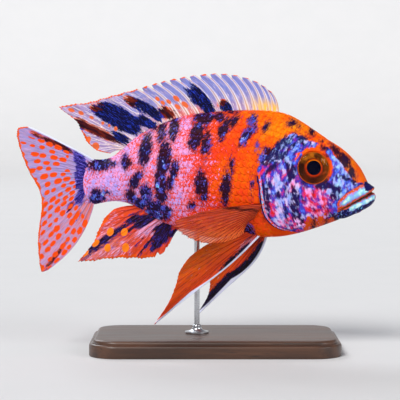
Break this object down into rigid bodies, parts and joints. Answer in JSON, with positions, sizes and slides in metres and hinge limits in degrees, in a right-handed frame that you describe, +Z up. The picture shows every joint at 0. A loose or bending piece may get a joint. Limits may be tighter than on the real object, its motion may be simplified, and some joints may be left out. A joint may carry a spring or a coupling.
{
  "type": "peacock cichlid display model",
  "caption": "Life-size still model of a male orange-blotched peacock cichlid, swimming in side view on a small rod stand.",
  "frame": {"origin": "centre of the display stand's underside", "axes": "+X from tail to snout, +Y to the fish's left side, +Z up"},
  "size_m": [0.1507, 0.058, 0.1162],
  "materials": {
    "skin": "wet scaled skin, orange red with dark blotches and blue flecks",
    "gill_cover": "wet bony plate under skin, violet with blue and rose mosaic",
    "eye": "clear glossy eye, dark iris with an orange ring",
    "fin": "thin wet membrane between rays",
    "stand_base": "dark satin walnut",
    "stand_rod": "fine turned steel"
  },
  "bodies": {
    "root": {"head": "skin", "lower_jaw": "skin", "trunk": "skin", "tail_stalk": "skin", "gill_cover_left": "gill_cover", "gill_cover_right": "gill_cover", "eye_left": "eye", "eye_right": "eye", "dorsal_fin": "fin", "anal_fin": "fin", "tail_fin": "fin", "pelvic_fin_left": "fin", "pelvic_fin_right": "fin", "pectoral_fin_left": "fin", "pectoral_fin_right": "fin", "stand_base": "stand_base", "stand_rod": "stand_rod"}
  },
  "joints": []
}
